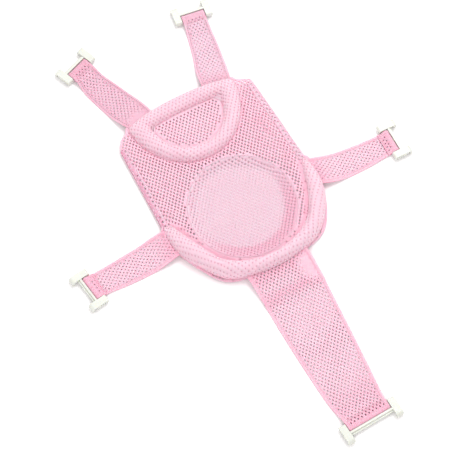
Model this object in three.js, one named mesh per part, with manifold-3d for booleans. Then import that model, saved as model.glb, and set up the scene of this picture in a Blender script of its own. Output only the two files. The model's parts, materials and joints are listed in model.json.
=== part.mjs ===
// Baby bath support net: a mesh sling seat with a D-shaped headrest, a U-shaped padded bolster, a round
// seat pocket and five straps, each sewn in a loop round the bar of a moulded clip that hooks on a tub's rim.
// The net lies flat, as laid out on a floor. +X is to the right, +Y runs from the seat to the headrest and
// +Z is up. Everything is in millimetres.
import * as THREE from 'three';
import { mergeVertices } from 'three/addons/utils/BufferGeometryUtils.js';
import Module from 'manifold-3d';

const wasm = await Module();
wasm.setup();

// Driving dimensions.
const GAP = 0.3; // air between two pieces that touch
const MESH_THICKNESS = 3; // the sandwich mesh of the panel, the pocket and the straps
const BACKING_THICKNESS = 2; // the thinner mesh under both pads
const COVER_THICKNESS = 2.2; // the mesh drawn over both pads
const PANEL_BASE = 9; // the panel hangs this high between the pads
const PANEL_TOP = PANEL_BASE + MESH_THICKNESS;

// Each side of the panel, from its waist up to the headrest's corner. The left shoulder is cut off slantwise.
const WAIST = { halfWidth: 127, y: 38 };
const SHOULDERS = { left: [[-121, 195], [-113, 208.5]], right: [[120.5, 206.5]] };

const HEADREST = {
  outer: { halfWidth: 92, topY: 219, depth: 102, arch: 12 },
  inner: { halfWidth: 57, topY: 203, depth: 61, arch: 2 },
  height: 25,
};
const HEADREST_MESH_BASE = 7;

const POCKET = { centreY: 15, halfWidth: 86, halfLength: 88, floorRadius: 60 };
const TAPE = { inside: 2, outside: 3, thickness: 1.2 };

// The bolster's lines, each from its right end round to its left end: the roll is between the first two, and
// the backing runs on past it to the rim, as a flange at both lower corners.
const BOLSTER = {
  inner: [
    [114, 37.6], [103, 0], [88, -33], [54, -68], [0, -79],
    [-49, -67], [-83, -27], [-98, 8], [-110, 37.6],
  ],
  outer: [
    [126.3, 37.6], [125.8, -8], [110, -47], [74, -84], [0, -98],
    [-71, -84], [-103, -46], [-123.5, -8], [-126.3, 37.6],
  ],
  rim: [
    [126.3, 37.6], [126.2, -8], [115, -49], [81, -87], [0, -98],
    [-76, -87], [-107, -49], [-124, -8], [-126.3, 37.6],
  ],
};
const BOLSTER_HEIGHT = 30;
const BOLSTER_END_HEIGHT = 13;

const HEM = { width: 9, thickness: 1.5 };

const BAND_INSET = 0.4; // the band is this much narrower than its loop on each side
const LOOP = { radius: 4.6, hole: 2.3, tail: 16, halfThickness: 2.2 };
const STITCH = { width: 1.2, thickness: 0.8, inset: 3, fromBar: 12 };
const BAR_HEIGHT = 6; // the clip's bar above the floor
const STRAP_LANDS_AT = 55; // from its seam to where the strap lies on the floor
const STRAP_RISES = { from: 45, to: 8 }; // before its loop: where it leaves the floor, and is up at the bar
const CLIP = {
  barRadius: 2,
  sideGap: 1,
  blockWidth: 11,
  backEnd: 9,
  top: 5,
  underside: 3.5,
  crossbarFrom: 5.4,
  ledgeFrom: 8.6,
  crossbarTo: 11.4,
  crossbarTop: 4,
  ledgeTop: 1,
  throatTo: 17.6,
  throatTop: 1.9,
  hookTo: 22,
  frontCorner: 5,
  backCorner: 3,
  backChamfer: 1.5,
};
const GRIP_GROOVE = {
  count: 4,
  pitch: 3.4,
  width: 1.3,
  depth: 0.8,
  height: 6.5,
  firstAt: -5.5,
  middle: 0.75,
};

// Each strap is given by its two edges from the seam at the body towards the loop, seen from above and
// named as seen when looking out along the strap, and by the place, direction and width of its loop's end.
const STRAPS = {
  left: {
    leftEdge: [[-128, -11], [-160, -14.5], [-210, -14.3]],
    rightEdge: [[-128, 37], [-158, 36.6], [-212, 31.8]],
    endMiddle: [-273.8, 6.3],
    endAngle: 187.2,
    endWidth: 41,
  },
  right: {
    leftEdge: [[128, 37], [158, 30.8], [202, 25.3]],
    rightEdge: [[128, -11], [154, -17.5], [204, -19.2]],
    endMiddle: [265.8, 1.9],
    endAngle: -1.1,
    endWidth: 39,
  },
  top_left: {
    leftEdge: [[-91.5, 220.6], [-103, 245], [-115, 285], [-122, 314]],
    rightEdge: [[-46, 230], [-53, 261], [-66.5, 295], [-80, 326]],
    endMiddle: [-113.4, 362.1],
    endAngle: 110.2,
    endWidth: 39,
  },
  top_right: {
    leftEdge: [[46, 230], [50.5, 258], [61, 289], [69.5, 320]],
    rightEdge: [[91.5, 220.6], [99, 246], [106, 281], [110.5, 312]],
    endMiddle: [97.2, 359],
    endAngle: 81.6,
    endWidth: 39,
  },
  bottom: {
    leftEdge: [[52.5, -98.6], [52.5, -145], [46.5, -215], [37, -322]],
    rightEdge: [[-52.5, -98.6], [-50.5, -145], [-50.4, -220], [-47, -322]],
    endMiddle: [-4, -384.5],
    endAngle: -87.7,
    endWidth: 73,
  },
};

// Finishes.
const PINK_MESH = { color: 0xf3bdd0, roughness: 0.85, metalness: 0 };
const PINK_COVER = { color: 0xf7c9d9, roughness: 0.85, metalness: 0 };
const PINK_TAPE = { color: 0xeeb3c8, roughness: 0.8, metalness: 0 };
const FOAM = { color: 0xf6efe2, roughness: 0.95, metalness: 0 };
const THREAD = { color: 0xe99ab8, roughness: 0.6, metalness: 0 };
const IVORY_PLASTIC = { color: 0xf1f1e6, roughness: 0.4, metalness: 0 };

const net = new THREE.Group();

function addPiece(name, geometry, finish) {
  const mesh = new THREE.Mesh(geometry, new THREE.MeshStandardMaterial(finish));
  mesh.name = name;
  net.add(mesh);
  return mesh;
}

// Joining and cutting.
function toManifold(geometry) {
  const bare = geometry.clone();
  bare.deleteAttribute('normal');
  bare.deleteAttribute('uv');
  const merged = mergeVertices(bare, 1e-4);
  const vertProperties = new Float32Array(merged.attributes.position.array);
  const triVerts = new Uint32Array(merged.index.array);
  return new wasm.Manifold(new wasm.Mesh({ numProp: 3, vertProperties, triVerts }));
}

function toGeometry(manifold) {
  const mesh = manifold.getMesh();
  const geometry = new THREE.BufferGeometry();
  geometry.setAttribute('position', new THREE.BufferAttribute(new Float32Array(mesh.vertProperties), 3));
  geometry.setIndex(new THREE.BufferAttribute(new Uint32Array(mesh.triVerts), 1));
  return geometry;
}

function join(geometries) {
  return toGeometry(geometries.map(toManifold).reduce((sum, next) => sum.add(next)));
}

function cut(geometry, tools) {
  return toGeometry(tools.map(toManifold).reduce((rest, tool) => rest.subtract(tool), toManifold(geometry)));
}

// A body swept through rows of points, where all rows have the same count and each row is a closed section.
function sweepRows(rows, closed) {
  const count = rows[0].length;
  const geometry = new THREE.BufferGeometry();
  const coordinates = rows.flat().flatMap((p) => p.toArray());
  geometry.setAttribute('position', new THREE.Float32BufferAttribute(coordinates, 3));
  const index = [];
  const last = closed ? rows.length : rows.length - 1;
  for (let i = 0; i < last; i += 1) {
    const here = i * count;
    const next = ((i + 1) % rows.length) * count;
    for (let j = 0; j < count; j += 1) {
      const k = (j + 1) % count;
      index.push(here + j, next + j, next + k, here + j, next + k, here + k);
    }
  }
  if (!closed) {
    const flat = flattenSection(rows[0]);
    const cap = THREE.ShapeUtils.triangulateShape(flat, []);
    const clockwise = THREE.ShapeUtils.isClockWise(flat);
    const end = (rows.length - 1) * count;
    for (const [a, b, c] of cap) {
      const [b1, c1] = clockwise ? [c, b] : [b, c];
      index.push(a, b1, c1, end + a, end + c1, end + b1);
    }
  }
  geometry.setIndex(index);
  return facingOut(geometry);
}

// A section's points in its own plane, going round it the way the swept sides do.
function flattenSection(row) {
  const across = row.at(-1).clone().sub(row[0]).setZ(0).normalize();
  return row.map((p) => new THREE.Vector2(p.clone().sub(row[0]).setZ(0).dot(across), p.z));
}

function facingOut(geometry) {
  const position = geometry.attributes.position;
  const index = geometry.index.array;
  const [a, b, c] = [new THREE.Vector3(), new THREE.Vector3(), new THREE.Vector3()];
  let volume = 0;
  for (let i = 0; i < index.length; i += 3) {
    a.fromBufferAttribute(position, index[i]);
    b.fromBufferAttribute(position, index[i + 1]);
    c.fromBufferAttribute(position, index[i + 2]);
    volume += a.dot(b.cross(c));
  }
  if (volume < 0) {
    for (let i = 0; i < index.length; i += 3) {
      [index[i + 1], index[i + 2]] = [index[i + 2], index[i + 1]];
    }
  }
  return geometry;
}

// Plates.
function plate(outline, base, thickness, holes = []) {
  const anticlockwise = THREE.ShapeUtils.isClockWise(outline) ? outline.toReversed() : outline;
  const shape = new THREE.Shape(anticlockwise);
  shape.holes = holes.map((hole) => new THREE.Path(hole));
  const geometry = new THREE.ExtrudeGeometry(shape, { depth: thickness, bevelEnabled: false });
  return geometry.translate(0, 0, base);
}

function ellipsePoints(halfWidth, halfLength, centreY, count = 56) {
  const curve = new THREE.EllipseCurve(0, centreY, halfWidth, halfLength);
  return curve.getPoints(count).slice(0, count);
}

// The D outline, grown outward by grow: its round side first, from right to left, then its arched top edge.
function dRoundSide({ halfWidth, topY, depth }, grow, count = 26) {
  const points = [];
  for (let i = 0; i <= count; i += 1) {
    const angle = (Math.PI * i) / count;
    const x = (halfWidth + grow) * Math.cos(angle);
    points.push(new THREE.Vector2(x, topY - (depth + grow) * Math.sin(angle)));
  }
  return points;
}

function dTopEdge({ halfWidth, topY, arch }, grow, count = 16) {
  const points = [];
  for (let i = 1; i < count; i += 1) {
    const across = (2 * i) / count - 1;
    points.push(new THREE.Vector2((halfWidth + grow) * across, topY + grow + arch * (1 - across * across)));
  }
  return points;
}

function dOutline(size, grow = 0) {
  return [...dRoundSide(size, grow), ...dTopEdge(size, grow)];
}

function smoothLine(points, count) {
  return new THREE.SplineCurve(toVectors(points)).getPoints(count);
}

function toVectors(points) {
  return points.map(([x, y]) => new THREE.Vector2(x, y));
}

// Pads. A pad's section is a half ellipse on its base, drawn in from the full size by inset.
function halfEllipse(width, height, inset, base, count = 8) {
  const points = [];
  for (let i = 0; i <= count; i += 1) {
    const angle = Math.PI * (1 - i / count);
    const x = width / 2 + (width / 2 - inset) * Math.cos(angle);
    points.push(new THREE.Vector2(x, base + (height - base - inset) * Math.sin(angle)));
  }
  return points;
}

function coverSection(width, height) {
  const base = BACKING_THICKNESS + GAP;
  const outside = halfEllipse(width, height, 0, base);
  const inside = halfEllipse(width, height, COVER_THICKNESS, base);
  return [...outside, ...inside.reverse()];
}

function foamSection(width, height) {
  return halfEllipse(width, height, COVER_THICKNESS + GAP, BACKING_THICKNESS + GAP);
}

function padRows(inner, outer, section, heights) {
  return inner.map((from, i) => {
    const width = from.distanceTo(outer[i]);
    const across = outer[i].clone().sub(from).divideScalar(width);
    return section(width, heights[i]).map((p) => {
      const at = from.clone().addScaledVector(across, p.x);
      return new THREE.Vector3(at.x, at.y, p.y);
    });
  });
}

function makeHeadrest() {
  const outer = dOutline(HEADREST.outer);
  const inner = dOutline(HEADREST.inner);
  const heights = inner.map(() => HEADREST.height);
  addPiece('headrest_cover', sweepRows(padRows(inner, outer, coverSection, heights), true), PINK_COVER);
  addPiece('headrest_foam', sweepRows(padRows(inner, outer, foamSection, heights), true), FOAM);
  addPiece('headrest_backing', plate(outer, 0, BACKING_THICKNESS, [inner]), PINK_MESH);
  const mesh = plate(dOutline(HEADREST.inner, -GAP), HEADREST_MESH_BASE, MESH_THICKNESS);
  addPiece('headrest_mesh', mesh, PINK_MESH);
}

function makeBolster() {
  const steps = 40;
  const inner = smoothLine(BOLSTER.inner, steps);
  const outer = smoothLine(BOLSTER.outer, steps);
  const rim = smoothLine(BOLSTER.rim, steps);
  const heights = inner.map((point, i) => {
    const fromEnd = Math.min(i, steps - i) / (steps / 2);
    const rise = Math.sin(Math.min(1, fromEnd * 2.2) * (Math.PI / 2));
    return BOLSTER_END_HEIGHT + (BOLSTER_HEIGHT - BOLSTER_END_HEIGHT) * rise;
  });
  addPiece('bolster_cover', sweepRows(padRows(inner, outer, coverSection, heights), false), PINK_COVER);
  addPiece('bolster_foam', sweepRows(padRows(inner, outer, foamSection, heights), false), FOAM);
  addPiece('bolster_backing', plate([...rim, ...inner.toReversed()], 0, BACKING_THICKNESS), PINK_MESH);
}

// The panel runs from the headrest's round side to the bolster, with the pocket's hole in it.
function makePanel() {
  const lower = smoothLine(BOLSTER.inner, 40).map((p, i, all) => {
    const before = all[Math.max(0, i - 1)];
    const after = all[Math.min(all.length - 1, i + 1)];
    const along = after.clone().sub(before).normalize();
    return new THREE.Vector2(p.x + along.y * GAP, p.y - along.x * GAP);
  });
  const outline = [
    ...dRoundSide(HEADREST.outer, GAP).reverse(),
    new THREE.Vector2(HEADREST.outer.halfWidth + GAP, HEADREST.outer.topY),
    ...toVectors(SHOULDERS.right),
    new THREE.Vector2(WAIST.halfWidth, WAIST.y),
    new THREE.Vector2(lower[0].x, WAIST.y),
    ...lower.slice(1, -1),
    new THREE.Vector2(lower.at(-1).x, WAIST.y),
    new THREE.Vector2(-WAIST.halfWidth, WAIST.y),
    ...toVectors(SHOULDERS.left),
  ].filter((p, i, all) => i === 0 || p.distanceTo(all[i - 1]) > 0.01);
  const { halfWidth, halfLength, centreY } = POCKET;
  const hole = ellipsePoints(halfWidth + GAP, halfLength + GAP, centreY);
  addPiece('seat_panel', plate(outline, PANEL_BASE, MESH_THICKNESS, [hole]), PINK_MESH);
}

// The pocket is a shallow dish: it hangs from the seam in the panel and its middle lies on the floor.
function makePocket() {
  const { centreY, halfWidth, halfLength, floorRadius } = POCKET;
  const rim = halfWidth;
  const underside = [[0, 0], [floorRadius, 0], [floorRadius + 8, 1.4], [rim - 5, 7.6], [rim, PANEL_BASE]];
  const topside = [
    [rim, PANEL_TOP], [rim - 6, 10.4], [floorRadius + 7, 4.2],
    [floorRadius, MESH_THICKNESS], [0, MESH_THICKNESS],
  ];
  const dish = new THREE.LatheGeometry(toVectors([...underside, ...topside]), 48);
  dish.rotateX(Math.PI / 2).scale(1, halfLength / halfWidth, 1).translate(0, centreY, 0);
  addPiece('seat_pocket', dish, PINK_MESH);

  const outside = ellipsePoints(halfWidth + TAPE.outside, halfLength + TAPE.outside, centreY);
  const inside = ellipsePoints(halfWidth - TAPE.inside, halfLength - TAPE.inside, centreY);
  addPiece('pocket_seam_tape', plate(outside, PANEL_TOP + GAP, TAPE.thickness, [inside]), PINK_TAPE);
}

function makeSideHem(name, side, [topX, topY]) {
  const outline = toVectors([
    [topX, topY - 1],
    [topX - side * HEM.width, topY - 1],
    [side * (WAIST.halfWidth - HEM.width), WAIST.y + 1],
    [side * WAIST.halfWidth, WAIST.y + 1],
  ]);
  addPiece(name, plate(outline, PANEL_TOP + GAP, HEM.thickness), PINK_TAPE);
}

// Straps. The band leaves the body at the panel's height, sinks to the floor and rises again to the clip.
function strapHeight(fromRoot, toEnd) {
  const rest = MESH_THICKNESS / 2 + 0.3;
  const root = PANEL_BASE + MESH_THICKNESS / 2;
  const down = THREE.MathUtils.smoothstep(fromRoot, 0, STRAP_LANDS_AT);
  const up = 1 - THREE.MathUtils.smoothstep(toEnd, STRAP_RISES.to, STRAP_RISES.from);
  return root + (rest - root) * down + (BAR_HEIGHT - rest) * up;
}

function strapBand(leftEdge, rightEdge, steps = 18) {
  const left = new THREE.SplineCurve(leftEdge).getSpacedPoints(steps);
  const right = new THREE.SplineCurve(rightEdge).getSpacedPoints(steps);
  const middles = left.map((p, i) => p.clone().lerp(right[i], 0.5));
  const travelled = [0];
  for (let i = 1; i <= steps; i += 1) {
    travelled.push(travelled[i - 1] + middles[i].distanceTo(middles[i - 1]));
  }
  const half = MESH_THICKNESS / 2;
  const rows = left.map((p, i) => {
    const z = strapHeight(travelled[i], travelled.at(-1) - travelled[i]);
    const q = right[i];
    return [
      new THREE.Vector3(p.x, p.y, z - half),
      new THREE.Vector3(p.x, p.y, z + half),
      new THREE.Vector3(q.x, q.y, z + half),
      new THREE.Vector3(q.x, q.y, z - half),
    ];
  });
  return sweepRows(rows, false);
}

// The sewn loop's section seen along the bar, u away from the body and z up from the bar's axis.
function loopGeometry(width) {
  const { radius, hole, tail, halfThickness } = LOOP;
  const leave = THREE.MathUtils.degToRad(115);
  const shape = new THREE.Shape();
  shape.moveTo(-tail, -halfThickness);
  shape.lineTo(-radius - 4, -halfThickness);
  shape.lineTo(radius * Math.cos(leave), -radius * Math.sin(leave));
  shape.absarc(0, 0, radius, -leave, leave, false);
  shape.lineTo(-radius - 4, halfThickness);
  shape.lineTo(-tail, halfThickness);
  shape.closePath();
  shape.holes.push(new THREE.Path().absarc(0, 0, hole, 0, 2 * Math.PI, true));
  return alongBar(shape, width, 10);
}

// Extrudes a section drawn in u and z along the bar, centred on it.
function alongBar(shape, width, curveSegments = 8) {
  const geometry = new THREE.ExtrudeGeometry(shape, { depth: width, bevelEnabled: false, curveSegments });
  return geometry.translate(0, 0, -width / 2).rotateX(Math.PI / 2);
}

function clipBlock(side, strapWidth) {
  const { backEnd, top, underside, crossbarTo, throatTo, throatTop, hookTo } = CLIP;
  const { frontCorner, backCorner, backChamfer } = CLIP;
  const tipRadius = (hookTo - throatTo) / 2;
  const throatRadius = (throatTo - crossbarTo) / 2;
  const shape = new THREE.Shape();
  shape.moveTo(-backEnd, -underside + backChamfer);
  shape.lineTo(-backEnd, top - backCorner);
  shape.absarc(-backEnd + backCorner, top - backCorner, backCorner, Math.PI, Math.PI / 2, true);
  shape.lineTo(hookTo - frontCorner, top);
  shape.absarc(hookTo - frontCorner, top - frontCorner, frontCorner, Math.PI / 2, 0, true);
  shape.lineTo(hookTo, -BAR_HEIGHT + tipRadius);
  shape.absarc(hookTo - tipRadius, -BAR_HEIGHT + tipRadius, tipRadius, 0, -Math.PI, true);
  shape.lineTo(throatTo, throatTop - throatRadius);
  shape.absarc(crossbarTo + throatRadius, throatTop - throatRadius, throatRadius, 0, Math.PI, false);
  shape.lineTo(crossbarTo, -underside);
  shape.lineTo(-backEnd + backChamfer, -underside);
  shape.closePath();
  const middle = side * (strapWidth / 2 + CLIP.sideGap + CLIP.blockWidth / 2);
  return alongBar(shape, CLIP.blockWidth, 6).translate(0, middle, 0);
}

function crossbar(length) {
  const { crossbarFrom, ledgeFrom, crossbarTo, crossbarTop, ledgeTop, underside } = CLIP;
  const shape = new THREE.Shape();
  shape.moveTo(crossbarFrom, -underside);
  shape.lineTo(crossbarTo, -underside);
  shape.lineTo(crossbarTo, ledgeTop);
  shape.lineTo(ledgeFrom, ledgeTop);
  shape.lineTo(ledgeFrom, crossbarTop);
  shape.lineTo(crossbarFrom, crossbarTop);
  shape.closePath();
  return alongBar(shape, length);
}

function gripGrooves(side, strapWidth) {
  const { count, pitch, width, depth, height, firstAt, middle } = GRIP_GROOVE;
  const outerFace = side * (strapWidth / 2 + CLIP.sideGap + CLIP.blockWidth);
  const grooves = [];
  for (let i = 0; i < count; i += 1) {
    const groove = new THREE.BoxGeometry(width, 2 * depth, height);
    grooves.push(groove.translate(firstAt + i * pitch, outerFace, middle));
  }
  return grooves;
}

// One moulding: two hook blocks, the crossbar and the round bar that the strap's loop turns on.
function clipGeometry(strapWidth) {
  const inside = strapWidth + 2 * CLIP.sideGap;
  const bar = new THREE.CylinderGeometry(CLIP.barRadius, CLIP.barRadius, inside + 1, 12);
  const body = join([clipBlock(-1, strapWidth), clipBlock(1, strapWidth), crossbar(inside + 1), bar]);
  return cut(body, [...gripGrooves(-1, strapWidth), ...gripGrooves(1, strapWidth)]);
}

function makeStrap(name, { leftEdge, rightEdge, endMiddle, endAngle, endWidth }) {
  const turn = THREE.MathUtils.degToRad(endAngle);
  const outward = new THREE.Vector2(Math.cos(turn), Math.sin(turn));
  const bar = new THREE.Vector2(...endMiddle).addScaledVector(outward, -LOOP.radius);
  const place = (geometry) => geometry.rotateZ(turn).translate(bar.x, bar.y, BAR_HEIGHT);
  const origin = new THREE.Vector2();
  const toLoop = (edge, side) => [
    ...edge.map(([x, y]) => new THREE.Vector2(x, y)),
    ...[LOOP.tail, LOOP.tail / 2].map((back) => {
      const corner = new THREE.Vector2(-back, side * (endWidth / 2 - BAND_INSET));
      return corner.rotateAround(origin, turn).add(bar);
    }),
  ];
  const band = strapBand(toLoop(leftEdge, 1), toLoop(rightEdge, -1));
  const barHole = new THREE.CylinderGeometry(LOOP.hole, LOOP.hole, endWidth + 10, 20);
  const strap = cut(join([band, place(loopGeometry(endWidth))]), [place(barHole)]);
  addPiece(`${name}_strap`, strap, PINK_MESH);

  const stitching = new THREE.BoxGeometry(STITCH.width, endWidth - 2 * STITCH.inset, STITCH.thickness);
  stitching.translate(-STITCH.fromBar, 0, LOOP.halfThickness + GAP + STITCH.thickness / 2);
  addPiece(`${name}_strap_stitching`, place(stitching), THREAD);

  const clip = addPiece(`${name}_clip`, clipGeometry(endWidth), IVORY_PLASTIC);
  clip.position.set(bar.x, bar.y, BAR_HEIGHT);
  clip.rotation.z = turn;
}

makePanel();
makePocket();
makeHeadrest();
makeBolster();
makeSideHem('left_side_hem', -1, SHOULDERS.left[0]);
makeSideHem('right_side_hem', 1, SHOULDERS.right[0]);
for (const [name, strap] of Object.entries(STRAPS)) {
  makeStrap(name, strap);
}

// The origin is the middle of the footprint, on the floor.
net.updateMatrixWorld(true);
const bounds = new THREE.Box3().setFromObject(net, true);
net.position.set(-(bounds.min.x + bounds.max.x) / 2, -(bounds.min.y + bounds.max.y) / 2, -bounds.min.z);

export default net;
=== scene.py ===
"""Looks of the baby bath support net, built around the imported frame.

Shapes are worked out in millimetres and written to meshes in metres. Outlines, seams and strap edges are read
from the frame's own nodes and joints, so every piece lies where its CAD solid lies.
"""

import json
import math

import bpy
import numpy as np
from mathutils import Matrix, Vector
from mathutils.bvhtree import BVHTree
from mathutils.geometry import delaunay_2d_cdt


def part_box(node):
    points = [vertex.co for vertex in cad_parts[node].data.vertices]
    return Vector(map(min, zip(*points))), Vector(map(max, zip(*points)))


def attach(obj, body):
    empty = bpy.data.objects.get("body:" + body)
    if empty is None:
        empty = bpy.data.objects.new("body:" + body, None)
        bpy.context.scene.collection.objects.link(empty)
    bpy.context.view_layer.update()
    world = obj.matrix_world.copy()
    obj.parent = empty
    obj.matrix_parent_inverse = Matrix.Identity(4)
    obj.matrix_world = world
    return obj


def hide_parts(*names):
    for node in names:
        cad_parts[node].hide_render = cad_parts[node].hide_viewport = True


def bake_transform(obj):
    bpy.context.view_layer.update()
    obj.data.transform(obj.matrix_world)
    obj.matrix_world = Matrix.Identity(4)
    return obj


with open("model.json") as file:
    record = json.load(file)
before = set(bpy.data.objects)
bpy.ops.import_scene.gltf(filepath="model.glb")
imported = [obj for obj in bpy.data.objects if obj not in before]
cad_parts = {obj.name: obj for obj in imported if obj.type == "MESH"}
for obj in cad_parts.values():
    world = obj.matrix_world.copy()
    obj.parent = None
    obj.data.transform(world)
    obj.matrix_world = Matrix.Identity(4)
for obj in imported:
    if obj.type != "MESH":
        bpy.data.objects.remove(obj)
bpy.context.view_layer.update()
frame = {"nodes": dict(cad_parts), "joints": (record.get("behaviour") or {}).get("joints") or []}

MM = 0.001
UP = np.array([0.0, 0.0, 1.0])
STRAP_NAMES = ("left", "right", "top_left", "top_right", "bottom")

# The knitted sandwich mesh: staggered oval holes in rows.
HOLE_PITCH = (6.45, 8.48)
HOLE_SIZE = (1.55, 2.05)  # half width and half length
HOLE_SIDES = 10

PANEL_Z = 10.5
CLOTH = 2.0  # thickness of the mesh
HEM_CURL = 3.2  # how much of a side hem turns down over the panel's edge
HEM_ROUND = 3.0  # the radius it turns down with


# ---- Reading the frame ----

def node_mesh(node):
    """A CAD node's merged vertices, in millimetres, and its triangles."""
    mesh = frame["nodes"][node].data
    co = np.array([v.co for v in mesh.vertices], float).reshape(-1, 3) / MM
    keys, index = np.unique(np.round(co, 2), axis=0, return_inverse=True)
    index = index.reshape(-1)
    mesh.calc_loop_triangles()
    triangles = np.array([t.vertices for t in mesh.loop_triangles], int).reshape(-1, 3)
    return keys, index[triangles]


def plan_loops(node):
    """The outlines of a CAD node's flat underside, seen from above, the longest first."""
    points, triangles = node_mesh(node)
    low = points[:, 2].min()
    flat = triangles[(np.abs(points[triangles][:, :, 2] - low) < 0.02).all(1)]
    edges = set()
    for a, b, c in flat:
        for start, end in ((a, b), (b, c), (c, a)):
            if (end, start) in edges:
                edges.remove((end, start))
            else:
                edges.add((start, end))
    following = dict(sorted(edges))
    loops = []
    while following:
        start, here = following.popitem()
        loop = [start]
        while here != start:
            loop.append(here)
            here = following.pop(here)
        loops.append(anticlockwise(points[loop][:, :2]))
    return sorted(loops, key=lambda loop: -loop_length(loop))


def box_mm(node):
    low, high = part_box(node)
    return np.array(low) / MM, np.array(high) / MM


# ---- Plane geometry, on arrays of points ----

def signed_area(loop):
    nxt = np.roll(loop, -1, axis=0)
    return float((loop[:, 0] * nxt[:, 1] - loop[:, 1] * nxt[:, 0]).sum() / 2)


def anticlockwise(loop):
    return loop if signed_area(loop) > 0 else loop[::-1]


def loop_length(loop):
    return float(np.linalg.norm(loop - np.roll(loop, 1, axis=0), axis=1).sum())


def travelled(line):
    return np.concatenate([[0], np.cumsum(np.linalg.norm(np.diff(line, axis=0), axis=1))])


def closed_line(loop):
    return np.vstack([loop, loop[:1]])


def unit(vectors):
    return vectors / np.maximum(np.linalg.norm(vectors, axis=-1, keepdims=True), 1e-9)


def at_stations(wanted, at, points, **more):
    """Points between those of a line, whose own points lie at the stations named by at."""
    return np.stack([np.interp(wanted, at, column, **more) for column in points.T], axis=-1)


def opened(loop):
    """The loop's points as a line that starts after its widest gap."""
    gap = np.argmax(np.linalg.norm(np.diff(closed_line(loop), axis=0), axis=1))
    return np.roll(loop, -gap - 1, axis=0)


def extent(loop):
    """A loop's width and length, in metres."""
    return tuple((loop.max(0) - loop.min(0)) * MM)


def square_metres(outline, *cuts):
    return (abs(signed_area(outline)) - sum(abs(signed_area(cut)) for cut in cuts)) * MM * MM


def resample(line, step, closed=True):
    """The same line with points at even steps."""
    points = closed_line(line) if closed else np.asarray(line, float)
    at = travelled(points)
    wanted = np.linspace(0, at[-1], max(3, int(round(at[-1] / step))) + 1)
    if closed:
        wanted = wanted[:-1]
    return at_stations(wanted, at, points)


def smoothed(line, passes, closed=True):
    for _ in range(passes):
        if closed:
            line = (np.roll(line, 1, axis=0) + 2 * line + np.roll(line, -1, axis=0)) / 4
        else:
            line = np.concatenate([line[:1], (line[:-2] + 2 * line[1:-1] + line[2:]) / 4, line[-1:]])
    return line


def outward_normals(loop):
    """Unit vectors to the right of an anticlockwise loop's direction, which is away from its inside."""
    along = np.roll(loop, -1, axis=0) - np.roll(loop, 1, axis=0)
    return unit(np.stack([along[:, 1], -along[:, 0]], axis=1))


def grown(loop, distance):
    distance = np.broadcast_to(distance, len(loop))
    return loop + outward_normals(loop) * distance[:, None]


def inside(points, loop):
    x, y = points[:, 0][:, None], points[:, 1][:, None]
    a, b = loop, np.roll(loop, -1, axis=0)
    crosses = (a[:, 1] > y) != (b[:, 1] > y)
    rise = np.where(np.abs(b[:, 1] - a[:, 1]) < 1e-12, 1e-12, b[:, 1] - a[:, 1])
    at = a[:, 0] + (y - a[:, 1]) * (b[:, 0] - a[:, 0]) / rise
    return (crosses & (x < at)).sum(1) % 2 == 1


def distance_to(points, loop):
    a, b = loop, np.roll(loop, -1, axis=0)
    best = np.full(len(points), 1e9)
    span = b - a
    length2 = np.maximum((span * span).sum(1), 1e-12)
    for k in range(len(a)):
        t = np.clip(((points - a[k]) @ span[k]) / length2[k], 0, 1)
        best = np.minimum(best, np.linalg.norm(points - a[k] - t[:, None] * span[k], axis=1))
    return best


def smoothstep(x):
    t = np.clip(x, 0, 1)
    return t * t * (3 - 2 * t)


# ---- Building meshes ----

def on_seat(piece, node=None):
    """The piece moves with the net's body, and stands for a CAD node if one is named."""
    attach(piece, "seat")
    if node:
        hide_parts(node)


def band(here, nxt, count):
    """The faces between two rings of count points, whose first points are here and nxt."""
    return [(here + j, here + (j + 1) % count, nxt + (j + 1) % count, nxt + j) for j in range(count)]


def upright(points):
    """A row of stitches on level cloth."""
    return points, np.tile(UP, (len(points), 1))


def make_object(name, points, faces, material, weave=None, pile_and_shade_mix=None):
    """A mesh object from points in millimetres. weave and depth are kept as attributes for its material."""
    mesh = bpy.data.meshes.new(name)
    mesh.from_pydata((np.asarray(points) * MM).tolist(), [], [list(map(int, f)) for f in faces])
    mesh.validate()
    mesh.update()
    keep_attributes(mesh, weave, pile_and_shade_mix)
    mesh.polygons.foreach_set("use_smooth", [True] * len(mesh.polygons))
    obj = bpy.data.objects.new(name, mesh)
    bpy.context.scene.collection.objects.link(obj)
    mesh.materials.append(material)
    return obj


def keep_attributes(mesh, weave, pile_and_shade_mix):
    if weave is not None:
        flat = np.zeros((len(mesh.vertices), 3), np.float32)
        flat[:, :2] = weave
        mesh.attributes.new("weave", "FLOAT_VECTOR", "POINT").data.foreach_set("vector", flat.ravel())
    if pile_and_shade_mix is not None:
        values = np.asarray(pile_and_shade_mix, np.float32)
        mesh.attributes.new("pile_and_shade_mix", "FLOAT", "POINT").data.foreach_set("value", values)


def lattice(low, high, phase=(0.0, 0.0)):
    """Centres of the staggered holes over a box. Pieces with the same phase share one grid."""
    first, last = (np.floor((at - np.array(phase)) / HOLE_PITCH).astype(int) for at in (low, high))
    i, j = np.meshgrid(np.arange(first[0] - 1, last[0] + 2), np.arange(2 * first[1] - 1, 2 * last[1] + 3))
    x = (i + 0.5 * (j % 2)) * HOLE_PITCH[0] + phase[0]
    y = j * HOLE_PITCH[1] / 2 + phase[1]
    return np.stack([x, y], axis=-1).reshape(-1, 2)


def hole_offsets(size):
    """An oval with slightly flattened sides, round its centre."""
    turn = 2 * np.pi * (np.arange(HOLE_SIDES) + 0.5) / HOLE_SIDES
    round_points = np.stack([np.cos(turn), np.sin(turn)], axis=1)
    return size * np.sign(round_points) * np.abs(round_points) ** 0.9


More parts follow.
